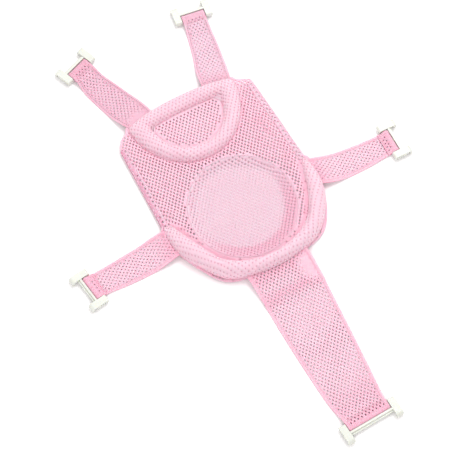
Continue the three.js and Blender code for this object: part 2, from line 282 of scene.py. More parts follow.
def unstretched(surface, centres, step=0.4):
    """For each centre, the 2x2 matrix that undoes the surface's stretch of the flat cloth."""
    here, _ = surface(centres)
    right, _ = surface(centres + [step, 0])
    ahead, _ = surface(centres + [0, step])
    dx, dy = (right - here) / step, (ahead - here) / step
    metric = np.empty((len(centres), 2, 2))
    metric[:, 0, 0], metric[:, 1, 1] = (dx * dx).sum(1), (dy * dy).sum(1)
    metric[:, 0, 1] = metric[:, 1, 0] = (dx * dy).sum(1)
    values, vectors = np.linalg.eigh(metric)
    shrink = 1 / np.sqrt(np.clip(values, 0.6, 16))
    return vectors @ (shrink[:, :, None] * vectors.transpose(0, 2, 1))


def perforated(name, loops, surface, thickness, material, phase=(0.0, 0.0), margin=1.1, size=HOLE_SIZE,
               closed_off=None, narrowed=None, guides=(), bulge=0.45, density_and_shade=None, seed=1):
    """A sheet of mesh fabric with real holes through it.

    loops are its outline and its cut-outs in the flat cloth, surface(xy) gives points and normals in space,
    and thickness is the cloth's, or a function of xy. closed_off(xy) is True where the knit has no holes,
    narrowed(xy) is how wide they are against the others, guides are further lines that the triangles follow,
    and density_and_shade(xy) is how far the colour there turns to the darker pile_and_shade colour, from 0 to
    1:
    denser knit at hems, and painted shade in creases, folds, on flanks and slopes.
    """
    loops = [anticlockwise(np.asarray(loop, float)) for loop in loops]
    outer, cuts = loops[0], loops[1:]
    centres = lattice(outer.min(0), outer.max(0), phase)
    keep = inside(centres, outer)
    for cut in cuts:
        keep &= ~inside(centres, cut)
    centres = centres[keep]
    room = np.min([distance_to(centres, loop) for loop in loops], axis=0)
    centres = centres[room > margin + 0.5 * (size[0] + size[1])]
    shut = np.zeros(len(centres), bool) if closed_off is None else closed_off(centres)
    solid, centres = centres[shut], centres[~shut]

    random = np.random.default_rng(seed)
    scale = 1 + random.uniform(-0.05, 0.05, (len(centres), 1, 1))
    if narrowed is not None:
        scale = scale * narrowed(centres)[:, None, None]
    shift = random.uniform(-0.08, 0.08, (len(centres), 1, 2))
    ovals = hole_offsets(size)[None] * scale + shift
    holes = centres[:, None, :] + ovals @ unstretched(surface, centres).transpose(0, 2, 1)

    verts, faces, edges = [], [], []
    for loop in [*loops, *holes]:
        faces.append(list(range(len(verts), len(verts) + len(loop))))
        verts.extend(loop.tolist())
    for guide in guides:
        first = len(verts)
        verts.extend(np.asarray(guide, float).tolist())
        edges.extend((k, k + 1) for k in range(first, len(verts) - 1))
    verts.extend(solid.tolist())
    out, _, tris, _, _, origin = delaunay_2d_cdt([Vector(v) for v in verts], edges, faces, 0, 1e-6, True)
    flat = np.array([v[:] for v in out], float)
    tris = np.array([t for t, where in zip(tris, origin) if list(where) == [0]], int)

    # Edges used once are the rims of the cloth and of its holes.
    pairs = np.concatenate([tris[:, [0, 1]], tris[:, [1, 2]], tris[:, [2, 0]]])
    forward = pairs[:, 0] * len(flat) + pairs[:, 1]
    backward = pairs[:, 1] * len(flat) + pairs[:, 0]
    rim = pairs[~np.isin(forward, backward)]
    along = flat[rim[:, 1]] - flat[rim[:, 0]]
    side = unit(np.stack([along[:, 1], -along[:, 0]], axis=1))
    away = np.zeros_like(flat)
    np.add.at(away, rim[:, 0], side)
    np.add.at(away, rim[:, 1], side)
    on_rim = np.unique(rim)
    away = unit(away[on_rim])
    rim_index = np.full(len(flat), -1)
    rim_index[on_rim] = np.arange(len(on_rim))
    undo = unstretched(surface, flat[on_rim])
    middle_flat = flat[on_rim] + np.einsum("nij,nj->ni", undo, away) * bulge

    points, normals = surface(flat)
    half = (thickness(flat) if callable(thickness) else np.full(len(flat), float(thickness)))[:, None] / 2
    middle, _ = surface(middle_flat)
    count = len(flat)
    mid = 2 * count + rim_index
    a, b = rim[:, 0], rim[:, 1]
    quads = [
        *np.stack([b, a, mid[a], mid[b]], axis=1),
        *np.stack([mid[b], mid[a], a + count, b + count], axis=1),
    ]
    # Faces take density_and_shade; the inside of each hole takes the full pile_and_shade colour, partly
    # deeper pile and partly painted shade.
    darkening = np.zeros(count) if density_and_shade is None else density_and_shade(flat)
    pile_and_shade_mix = np.concatenate([darkening, darkening, np.ones(len(on_rim))])
    weave = np.vstack([flat, flat, middle_flat])
    return make_object(name, np.vstack([points + normals * half, points - normals * half, middle]),
                       [*tris, *(tris[:, ::-1] + count), *quads], material, weave, pile_and_shade_mix)


def height_surface(height, step=0.5):
    """A surface over the plan, from a function giving its height."""
    def surface(xy):
        dx = (height(xy + [step, 0]) - height(xy - [step, 0])) / (2 * step)
        dy = (height(xy + [0, step]) - height(xy - [0, step])) / (2 * step)
        normal = np.stack([-dx, -dy, np.ones(len(xy))], axis=1)
        return np.column_stack([xy, height(xy)]), unit(normal)
    return surface


def swept(name, centre, across, up, section, material):
    """A closed bead along a closed line, whose section is a loop of (across, up) offsets."""
    rows, count = len(centre), len(section)
    points = centre[:, None] + section[None, :, :1] * across[:, None] + section[None, :, 1:] * up[:, None]
    faces = [face for k in range(rows) for face in band(k * count, (k + 1) % rows * count, count)]
    round_it = np.linspace(0, 2 * np.pi, count, endpoint=False) * 1.2
    weave = np.column_stack([np.tile(round_it, rows), np.repeat(travelled(centre), count)])
    return make_object(name, points.reshape(-1, 3), faces, material, weave, np.zeros(rows * count))


def oval_section(width, height, sides=10):
    turn = 2 * np.pi * np.arange(sides) / sides
    return np.column_stack([np.cos(turn) * width / 2, np.sin(turn) * height / 2])


def stitches(name, rows, pitch=3.6, length=2.7, radius=0.42, material=None):
    """Rows of stitches, each row a line and its normals. A stitch is a bead that dives into the cloth."""
    rings, sides = 5, 6
    share = np.linspace(-1, 1, rings)
    swell = np.sqrt(np.maximum(1 - share ** 2, 0.04))
    turn = 2 * np.pi * np.arange(sides) / sides
    verts, faces = [], []
    for line, normals in rows:
        at = travelled(line)
        count = max(1, int(at[-1] / pitch))
        for middle in (np.arange(count) + 0.5) * at[-1] / count:
            along_row = middle + share * length / 2
            centre = at_stations(along_row, at, line)
            normal = unit(at_stations(middle, at, normals))
            along = unit(centre[-1] - centre[0])
            sideways = np.cross(normal, along)
            first = len(verts) * sides * rings
            lift = centre + normal * (radius * (0.9 * swell - 0.5))[:, None]
            ring = np.cos(turn)[:, None] * sideways + np.sin(turn)[:, None] * normal
            verts.append((lift[:, None] + radius * swell[:, None, None] * ring[None]).reshape(-1, 3))
            for k in range(rings - 1):
                faces.extend(band(first + k * sides, first + (k + 1) * sides, sides))
            faces.append(tuple(range(first, first + sides))[::-1])
            faces.append(tuple(range(first + (rings - 1) * sides, first + rings * sides)))
    return make_object(name, np.vstack(verts), faces, material or THREAD)


# ---- Materials ----

class Nodes:
    """Short names for building a material's node tree."""

    def __init__(self, name):
        self.material = bpy.data.materials.new(name)
        self.material.use_nodes = True
        self.tree = self.material.node_tree
        self.shader = self.tree.nodes["Principled BSDF"]

    def set(self, **values):
        for key, value in values.items():
            self.shader.inputs[key.replace("_", " ")].default_value = value

    def add(self, kind, vector=None, **values):
        node = self.tree.nodes.new(kind)
        for key, value in values.items():
            if hasattr(node, key):
                setattr(node, key, value)
            else:
                node.inputs[key.replace("_", " ")].default_value = value
        if vector is not None:
            self.link(vector, node.inputs["Vector"])
        return node

    def link(self, source, target):
        self.tree.links.new(source, target)

    def attribute(self, name, output="Vector"):
        return self.add("ShaderNodeAttribute", attribute_name=name).outputs[output]

    def place(self):
        return self.add("ShaderNodeTexCoord").outputs["Object"]

    def noise(self, vector, scale, detail=3.0):
        return self.add("ShaderNodeTexNoise", vector, Scale=scale, Detail=detail).outputs["Fac"]

    def wave(self, vector, scale, distortion):
        wave = self.add("ShaderNodeTexWave", vector, Scale=scale, Distortion=distortion, Detail=1.0)
        return wave.outputs["Fac"]

    def turned(self, vector, angle):
        return self.add("ShaderNodeMapping", vector, Rotation=(0, 0, angle)).outputs["Vector"]

    def ramp(self, value, stops):
        node = self.add("ShaderNodeValToRGB")
        for element, (position, colour) in zip(node.color_ramp.elements, stops):
            element.position = position
            element.color = (*colour, 1)
        self.link(value, node.inputs["Fac"])
        return node.outputs["Color"]

    def remap(self, value, low, high):
        node = self.add("ShaderNodeMapRange")
        node.inputs["To Min"].default_value = low
        node.inputs["To Max"].default_value = high
        self.link(value, node.inputs["Value"])
        return node.outputs["Result"]

    def math(self, operation, first, second):
        node = self.add("ShaderNodeMath", operation=operation)
        for k, value in enumerate((first, second)):
            if isinstance(value, (int, float)):
                node.inputs[k].default_value = value
            else:
                self.link(value, node.inputs[k])
        return node.outputs[0]

    def mix(self, factor, first, second):
        node = self.add("ShaderNodeMix", data_type="RGBA")
        self.link(factor, node.inputs[0])
        self.link(first, node.inputs[6])
        node.inputs[7].default_value = (*second, 1)
        return node.outputs[2]

    def bump(self, height, strength, distance):
        node = self.add("ShaderNodeBump", Strength=strength, Distance=distance)
        self.link(height, node.inputs["Height"])
        self.link(node.outputs["Normal"], self.shader.inputs["Normal"])


def knit_material(name, light, dark, pile_and_shade):
    """Knitted polyester: fine loops slanted two ways and soft mottling. The pile_and_shade colour inside the
    holes is partly the deeper pile and partly painted shade, and faces take it where pile_and_shade_mix asks,
    as painted shade and denser knit.
    """
    n = Nodes(name)
    weave, place = n.attribute("weave"), n.place()
    one_way, other_way = (n.wave(n.turned(weave, angle), 0.42, 1.2) for angle in (0.96, -0.96))
    knit = n.math("MULTIPLY", one_way, other_way)
    fuzz = n.noise(weave, 1.7, 4.0)
    mottle = n.noise(place, 30.0, 3.0)
    tone = n.math("ADD", n.math("MULTIPLY", knit, 0.3), n.math("MULTIPLY", fuzz, 0.25))
    tone = n.math("ADD", tone, n.math("MULTIPLY", mottle, 0.6))
    colour = n.ramp(tone, [(0.25, dark), (0.75, light)])
    # The pile_and_shade colour: deeper pile and painted shade inside the holes, painted shade and denser knit
    # on marked faces
    inner = n.ramp(n.attribute("pile_and_shade_mix", "Fac"), [(0.05, (0, 0, 0)), (0.85, (1, 1, 1))])
    n.link(n.mix(inner, colour, pile_and_shade), n.shader.inputs["Base Color"])
    n.link(n.remap(fuzz, 0.62, 0.88), n.shader.inputs["Roughness"])
    n.set(Sheen_Weight=0.15, Sheen_Roughness=0.4, Sheen_Tint=(1.0, 0.85, 0.9, 1), Specular_IOR_Level=0.25,
          Subsurface_Weight=0.7, Subsurface_Radius=(1.0, 0.6, 0.7), Subsurface_Scale=0.0025)
    n.bump(n.math("ADD", knit, n.math("MULTIPLY", fuzz, 0.5)), 0.3, 0.0004)
    return n.material


def thread_material(name, light, dark):
    """Twisted sewing thread."""
    n = Nodes(name)
    twist = n.wave(n.place(), 620.0, 2.0)
    n.link(n.ramp(twist, [(0.2, dark), (0.8, light)]), n.shader.inputs["Base Color"])
    n.link(n.remap(n.noise(n.place(), 300.0), 0.45, 0.7), n.shader.inputs["Roughness"])
    n.set(Sheen_Weight=0.2)
    n.bump(twist, 0.4, 0.0002)
    return n.material


def plastic_material(name, light, dark):
    """Satin injection-moulded plastic, a little cloudy, with a faint texture and small scuffs."""
    n = Nodes(name)
    place = n.place()
    n.link(n.ramp(n.noise(place, 45.0, 4.0), [(0.3, dark), (0.7, light)]), n.shader.inputs["Base Color"])
    n.link(n.remap(n.noise(place, 210.0, 6.0), 0.26, 0.5), n.shader.inputs["Roughness"])
    n.set(Subsurface_Weight=0.25, Subsurface_Radius=(1.0, 0.9, 0.7), Subsurface_Scale=0.003, Coat_Weight=0.12)
    n.bump(n.noise(place, 1500.0, 2.0), 0.12, 0.0001)
    return n.material


# Each knit's third colour is its pile_and_shade colour: the darker pink inside its holes and of its painted
# shade
PANEL_MESH = knit_material("panel_mesh", (0.88, 0.56, 0.66), (0.84, 0.50, 0.605), (0.68, 0.21, 0.34))
POCKET_MESH = knit_material("pocket_mesh", (0.79, 0.585, 0.665), (0.76, 0.54, 0.63), (0.76, 0.34, 0.46))
HEADREST_MESH = knit_material("headrest_mesh", (0.89, 0.585, 0.68), (0.86, 0.535, 0.635), (0.70, 0.25, 0.38))
STRAP_MESH = knit_material("strap_mesh", (0.85, 0.575, 0.665), (0.81, 0.515, 0.61), (0.76, 0.34, 0.46))
TOP_STRAP_MESH = knit_material("top_strap_mesh", (0.80, 0.56, 0.65), (0.76, 0.50, 0.60), (0.70, 0.34, 0.44))
COVER_MESH = knit_material("cover_mesh", (0.91, 0.60, 0.685), (0.88, 0.55, 0.645), (0.86, 0.41, 0.52))
LINING = knit_material("lining", (0.82, 0.46, 0.56), (0.78, 0.42, 0.52), (0.8, 0.4, 0.5))
TAPE = knit_material("seam_tape", (0.88, 0.55, 0.65), (0.84, 0.48, 0.58), (0.8, 0.4, 0.5))
THREAD = thread_material("thread", (0.90, 0.53, 0.63), (0.80, 0.40, 0.52))
# Dark thread for the top straps' hems: its colour paints the shadow line along them.
SHADOW_LINE_THREAD = thread_material("hem_thread", (0.36, 0.17, 0.24), (0.28, 0.12, 0.18))
PLASTIC = plastic_material("clip_plastic", (0.71, 0.72, 0.66), (0.65, 0.66, 0.60))


# ---- Camera, lights and floor ----

def make_camera():
    """Looks down on the net from beyond its left foot."""
    azimuth, elevation, distance = math.radians(-28.98), math.radians(65.34), 3.4597
    low, high = box_mm("seat_pocket")
    from_pocket_middle = Vector((-0.0398, -0.015, 0.010))
    target = Vector((low[0] + high[0], low[1] + high[1], 0)) * 0.5 * MM + from_pocket_middle
    direction = Vector((math.sin(azimuth) * math.cos(elevation), -math.cos(azimuth) * math.cos(elevation),
                        math.sin(elevation)))
    camera = bpy.data.objects.new("camera", bpy.data.cameras.new("camera"))
    camera.location = target + direction * distance
    camera.rotation_euler = (target - camera.location).to_track_quat("-Z", "Y").to_euler()
    camera.data.sensor_width = 36
    camera.data.lens = 178.03
    camera.data.clip_end = 20
    bpy.context.scene.collection.objects.link(camera)
    bpy.context.scene.camera = camera


def area_light(name, place, size, energy):
    light = bpy.data.objects.new(name, bpy.data.lights.new(name, "AREA"))
    light.data.shape = "DISK"
    light.data.size = size
    light.data.energy = energy
    light.location = place
    light.rotation_euler = (-Vector(place)).to_track_quat("-Z", "Y").to_euler()
    bpy.context.scene.collection.objects.link(light)


def make_studio():
    world = bpy.data.worlds.new("studio")
    bpy.context.scene.world = world
    world.use_nodes = True
    background = world.node_tree.nodes["Background"]
    background.inputs["Color"].default_value = (1.0, 1.0, 1.0, 1)
    background.inputs["Strength"].default_value = 0.87
    area_light("key", (0.9, 0.9, 2.3), size=1.4, energy=32)
    area_light("fill", (-1.2, -1.4, 1.9), size=1.6, energy=13)
    bpy.context.scene.view_settings.view_transform = "Standard"

    # The floor is pale pink-white: in the open it renders white, and its pink paints pink light into the
    # shade under the net.
    n = Nodes("floor")
    n.link(n.ramp(n.noise(n.place(), 3.0), [(0, (0.97, 0.945, 0.95)), (1, (0.98, 0.96, 0.965))]),
           n.shader.inputs["Base Color"])
    n.set(Roughness=0.9)
    half = 6000
    floor = make_object("floor", [(-half, -half, 0), (half, -half, 0), (half, half, 0), (-half, half, 0)],
                        [(0, 1, 2, 3)], n.material)


# ---- The flat panel, the pocket and the headrest's middle ----

HEADREST_OUTER, HEADREST_INNER = plan_loops("headrest_backing")[:2]
AXIS_X = float(HEADREST_OUTER[:, 0].mean())  # the net's line of symmetry
POCKET_LOW, POCKET_HIGH = box_mm("seat_pocket")
POCKET_CENTRE = ((POCKET_LOW + POCKET_HIGH) / 2)[:2]
POCKET_HALF = ((POCKET_HIGH - POCKET_LOW) / 2)[:2]
FOAM_INSET = 2.5  # the foam is this much smaller than its pad, all round
UNDER_PAD = 6.5  # how far the panel runs on under a pad
LEFT_DROOP, RIGHT_DROOP = 4.0, 1.0  # how far the panel's free edges hang down
FREE_EDGE = 104  # how far from the line of symmetry they begin to
SHOULDER_DROOP = 2.5  # how much further the top left corner hangs
CREASE = 1.8  # how far the panel is drawn down at a pad's seam
SEAM_OFFSET = 1.6  # how far beside an edge its seam runs


def split_foam():
    """The bolster's two long lines, from its right end round to its left end, at the full size of the pad."""
    loop = plan_loops("bolster_foam")[0]
    half = len(loop) // 2
    right_end = np.where((loop[:, 1] > loop[:, 1].max() - 0.6) & (loop[:, 0] > AXIS_X))[0]
    loop = np.roll(loop, -min(right_end, key=lambda k: loop[k, 0]), axis=0)
    at, wanted = np.linspace(0, 1, half), np.linspace(0, 1, 161)
    inner, outer = (at_stations(wanted, at, line) for line in (loop[:half], loop[half:][::-1]))
    inner, outer = smoothed(inner, 60, closed=False), smoothed(outer, 20, closed=False)
    across = unit(outer - inner)
    return inner - across * FOAM_INSET, outer + across * FOAM_INSET


BOLSTER_END_HEIGHT = 13
BOLSTER_INNER, BOLSTER_OUTER = split_foam()
BOLSTER_LOOP = anticlockwise(np.vstack([BOLSTER_INNER, BOLSTER_OUTER[::-1]]))

# Soft folds in the panel: where each starts and ends from the pocket's middle, its width and its height.
FOLDS = (
    ((94, 196), (86, 128), 6, 4.0),
    ((106, 150), (98, 84), 7, 3.6),
    ((112, 74), (100, 22), 6, 4.2),
    ((-114, 66), (-94, -2), 7, 3.2),
    ((-106, 168), (-80, 120), 8, 2.6),
)


def slack(xy):
    """Soft undulations of cloth that hangs between its seams."""
    x, y = xy[:, 0], xy[:, 1]
    waves = (0.8 * np.sin(x / 26 + 0.7) * np.sin(y / 34 + 1.9) + 0.6 * np.sin(x / 15 - y / 21 + 0.4)
             + 0.4 * np.sin(x / 33 + y / 12))
    for start, end, width, height in FOLDS:
        a, b = POCKET_CENTRE + start, POCKET_CENTRE + end
        span = b - a
        t = np.clip(((xy - a) @ span) / (span @ span), 0, 1)
        off = np.linalg.norm(xy - a - t[:, None] * span, axis=1)
        waves = waves + height * np.exp(-(off / width) ** 2) * np.sin(np.pi * (0.15 + 0.7 * t))
    return waves


def from_pads(xy):
    return np.minimum(distance_to(xy, HEADREST_LOOP), distance_to(xy, BOLSTER_COARSE))


def panel_height(xy):
    """The panel hangs level between the pads, is drawn down at their seams, and droops at its free edges."""
    side = np.abs(xy[:, 0] - AXIS_X)
    left = xy[:, 0] < AXIS_X
    droop = np.where(left, LEFT_DROOP, RIGHT_DROOP) * smoothstep((side - FREE_EDGE) / 22)
    shoulder = SHOULDER_DROOP * smoothstep((xy[:, 1] - 180) / 40) * smoothstep((side - 85) / 35) * left
    calm = smoothstep((from_pocket(xy) - 0.99) / 0.12)
    to_pad = from_pads(xy)
    crease = CREASE * np.exp(-(to_pad / 4.5) ** 2)
    return PANEL_Z - droop - shoulder + slack(xy) * calm - crease


def panel_painted_shade(xy):
    """Painted shade at the pads' seams, and on the soft folds."""
    seam = 0.2 * np.exp(-(from_pads(xy) / 4.0) ** 2)
    return np.maximum(seam, 0.15 * smoothstep((slack(xy) - 1.2) / 2.6))


HEADREST_LOOP = resample(HEADREST_OUTER, 8.0)
BOLSTER_COARSE = resample(BOLSTER_LOOP, 6.0)


def from_pocket(xy):
    """How far out in the pocket a place is, from 0 at its middle to 1 at its seam."""
    return np.linalg.norm((xy - POCKET_CENTRE) / POCKET_HALF, axis=1)


def to_bolster(xy):
    """How far a place lies on the bolster's side of the pocket, from 0 to 1."""
    offset = (xy - POCKET_CENTRE) / POCKET_HALF
    turned = (0.28 * offset[:, 0] - 0.96 * offset[:, 1]) / np.maximum(np.linalg.norm(offset, axis=1), 0.01)
    return smoothstep((turned + 0.35) / 1.1)


def pocket_height(xy):
    """A shallow bowl: the cloth sags from its seam to the floor, and lies flat in the middle."""
    offset = (xy - POCKET_CENTRE) / POCKET_HALF
    turn = np.arctan2(offset[:, 1], offset[:, 0])
    touch = 0.82 - 0.13 * to_bolster(xy) + 0.02 * np.sin(3 * turn + 1) + 0.015 * np.sin(5 * turn)
    rise = np.clip((from_pocket(xy) - touch) / (1 - touch), 0, 1.1) ** 1.7
    ripple = 0.3 * np.sin(9 * turn + 0.5) * rise * (1.1 - rise)
    lowest = CLOTH / 2 + 0.15
    return lowest + (PANEL_Z - lowest) * rise + ripple


def pocket_painted_shade(xy):
    """Painted shade up its slope, most of all on the bolster's side."""
    side = to_bolster(xy)
    return (0.1 + 0.4 * side) * smoothstep((from_pocket(xy) - 0.8 + 0.1 * side) / 0.12)


def tucked(loop, reach):
    """A panel outline pushed under the pads wherever it runs along them."""
    near = np.minimum(distance_to(loop, HEADREST_OUTER), distance_to(loop, BOLSTER_LOOP)) < 4.5
    push = smoothed(near.astype(float)[:, None], 2)[:, 0] * reach
    return grown(loop, push)


def make_panel():
    outline, pocket_hole = plan_loops("seat_panel")[:2]
    outline = tucked(resample(outline, 2.5), UNDER_PAD)
    rim = grown(resample(pocket_hole, 3.0), 0.3)
    panel = perforated("seat_panel_mesh", [outline, rim], height_surface(panel_height), CLOTH, PANEL_MESH,
                       margin=0.3, size=(1.65, 2.15), closed_off=lambda xy: from_pads(xy) < 2.4,
                       narrowed=lambda xy: 0.66 + 0.34 * smoothstep((from_pads(xy) - 3) / 6),
                       density_and_shade=panel_painted_shade, guides=[closed_line(grown(outline, -1.2))], seed=2)
    on_seat(panel, "seat_panel")
    square_metres(outline, rim)


def make_pocket():
    rim = resample(plan_loops("seat_panel")[1], 3.0)
    pocket = perforated("pocket_mesh", [rim], height_surface(pocket_height), CLOTH, POCKET_MESH,
                        phase=(1.1, 2.3), size=(1.2, 1.6), margin=0.3, density_and_shade=pocket_painted_shade, seed=3)
    on_seat(pocket, "seat_pocket")
    square_metres(rim)

    # The seam: a narrow folded tape, sewn down along its middle.
    seam, up = upright(np.column_stack([rim, panel_height(rim) + CLOTH / 2]))
    across = np.column_stack([outward_normals(rim), np.zeros(len(rim))])
    tape = swept("pocket_seam_tape_fabric", seam, across, up, oval_section(1.5, 0.9), TAPE)
    thread = stitches("pocket_seam_thread", [upright(closed_line(seam + up * 0.42))], radius=0.2)
    on_seat(tape, "pocket_seam_tape")
    on_seat(thread)


def make_headrest_middle():
    outline = resample(plan_loops("headrest_mesh")[0], 3.0)
    low, high = box_mm("headrest_mesh")
    middle, half = ((low + high) / 2)[:2], ((high - low) / 2)[:2]
    deepest, under_ring = 2.0, 3.5

    def height(xy):
        sag = 1 - np.clip((((xy - middle) / half) ** 2).sum(1), 0, 1)
        return high[2] - 0.2 - deepest * sag + 0.4 * slack(xy)

    outline = grown(outline, under_ring)
    mesh = perforated("headrest_mesh_fabric", [outline], height_surface(height), CLOTH, HEADREST_MESH,
                      size=(1.4, 1.85), margin=3.6, seed=4)
    on_seat(mesh, "headrest_mesh")
    square_metres(outline)


def make_side_hem(name, solid, seed):
    """A side edge of the panel, folded over and sewn down. The outer part, solid wide, has no holes."""
    outline = resample(plan_loops(name)[0], 2.5)
    low, high = outline.min(0), outline.max(0)
    side = float(np.sign(outline[:, 0].mean() - AXIS_X))
    y = np.linspace(low[1] + 2, high[1] - 2, 80)
    near = [outline[np.abs(outline[:, 1] - v) < 5][:, 0] for v in y]

    def edge(pick):
        x = np.array([pick(xs, key=lambda x: side * x) for xs in near])
        return smoothed(x[:, None], 8, closed=False)[:, 0]

    inner, outer = edge(min), edge(max)
    fold = outer + side * HEM_CURL
    strip_loop = np.vstack([np.column_stack([inner, y]), np.column_stack([fold, y])[::-1]])

    def outward(xy):
        return side * (xy[:, 0] - np.interp(xy[:, 1], y, outer))

    def place(xy):
        """Lies on the panel, and curls down round its edge."""
        past = np.maximum(outward(xy) + 2.0, 0)
        turn = np.minimum(past / HEM_ROUND, 1.5)
        plan = xy.copy()
        plan[:, 0] += side * (HEM_ROUND * np.sin(turn) - past)
        fall = HEM_ROUND * (1 - np.cos(turn))
        points = np.column_stack([plan, panel_height(plan) + CLOTH / 2 + 0.5 - fall])
        return points, np.column_stack([side * np.sin(turn), np.zeros(len(xy)), np.cos(turn)])

    # Painted shade, darker towards the outer edge where the hem turns down, and more on the left side than on
    # the right.
    strip = perforated(f"{name}_fabric", [resample(strip_loop, 2.5)], place, 0.9, PANEL_MESH,
                       size=(1.5, 2.0), margin=0.3, bulge=0.2, closed_off=lambda xy: outward(xy) > -solid,
                       density_and_shade=lambda xy: (0.35 - 0.2 * side) * smoothstep((outward(xy) + 8) / 7), seed=seed)
    points, normals = place(np.column_stack([inner + side * 1.8, y]))
    thread = stitches(f"{name}_thread", [(points + normals * 0.42, normals)], radius=0.18)
    on_seat(strip, name)
    on_seat(thread)


# ---- Pads ----

PAD_FLOOR = 1.6  # the lowest height of a pad
PAD_EDGE = 2.6  # the height of its widest place, before it is puffed


def pad_solid(name, inner, outer, heights, inset, closed):
    """The pad before it is puffed: a flat-bottomed half ellipse between two lines, drawn in by inset."""
    rows, steps = [], 14
    turn = np.linspace(np.pi, 0, steps + 1)
    for a, b, height in zip(inner, outer, heights):
        width = np.linalg.norm(b - a)
        half = width / 2 - inset
        x = width / 2 + half * np.cos(turn)
        z = PAD_EDGE + (height - inset - PAD_EDGE) * np.sin(turn) ** 0.9
        x = np.concatenate([x, width / 2 + half * np.array([0.8, 0.3, -0.3, -0.8])])
        z = np.concatenate([z, np.full(4, 1.9)])
        rows.append(np.column_stack([a + x[:, None] * (b - a) / width, z]))
    count = len(rows[0])
    faces = []
    for k in range(len(rows) if closed else len(rows) - 1):
        faces.extend(band(k * count, (k + 1) % len(rows) * count, count))
    if not closed:
        faces.append(tuple(range(count))[::-1])
        faces.append(tuple(range((len(rows) - 1) * count, len(rows) * count)))
    return make_object(name, np.vstack(rows), faces, LINING)


def applied(obj, kind, **values):
    modifier = obj.modifiers.new(kind.lower(), kind)
    for key, value in values.items():
        setattr(modifier, key, value)
    bpy.context.view_layer.objects.active = obj
    bpy.ops.object.modifier_apply(modifier=modifier.name)


def coordinates(obj):
    co = np.empty(len(obj.data.vertices) * 3, np.float32)
    obj.data.vertices.foreach_get("co", co)
    return co.reshape(-1, 3)


def puff(obj, voxel, cap, pressure=4.0, frames=20):
    """Inflates a closed mesh by cloth simulation, with no point moving further than cap millimetres."""
    applied(obj, "REMESH", mode="VOXEL", voxel_size=voxel * MM)
    start = coordinates(obj)
    cloth = obj.modifiers.new("cloth", "CLOTH")
    settings = cloth.settings
    settings.use_pressure = True
    settings.uniform_pressure_force = pressure
    settings.effector_weights.gravity = 0
    settings.quality = 6
    settings.tension_stiffness = 8
    settings.compression_stiffness = 8
    settings.bending_stiffness = 0.3
    settings.shrink_min = -0.05
    cloth.point_cache.frame_end = frames
    for step in range(1, frames + 1):
        bpy.context.scene.frame_set(step)
    bpy.context.view_layer.objects.active = obj
    bpy.ops.object.modifier_apply(modifier="cloth")
    bpy.context.scene.frame_set(1)
    move = coordinates(obj) - start
    length = np.linalg.norm(move, axis=1, keepdims=True)
    move *= np.minimum(1, cap * MM / np.maximum(length, 1e-9))
    obj.data.vertices.foreach_set("co", (start + move).ravel())
    applied(obj, "SMOOTH", factor=0.5, iterations=2)
    applied(obj, "SUBSURF", levels=1)
    co = coordinates(obj)
    co[:, 2] = np.maximum(co[:, 2], PAD_FLOOR * MM)
    obj.data.vertices.foreach_set("co", co.ravel())
    obj.data.polygons.foreach_set("use_smooth", [True] * len(obj.data.polygons))
    keep_attributes(obj.data, co[:, :2] / MM, np.zeros(len(co)))


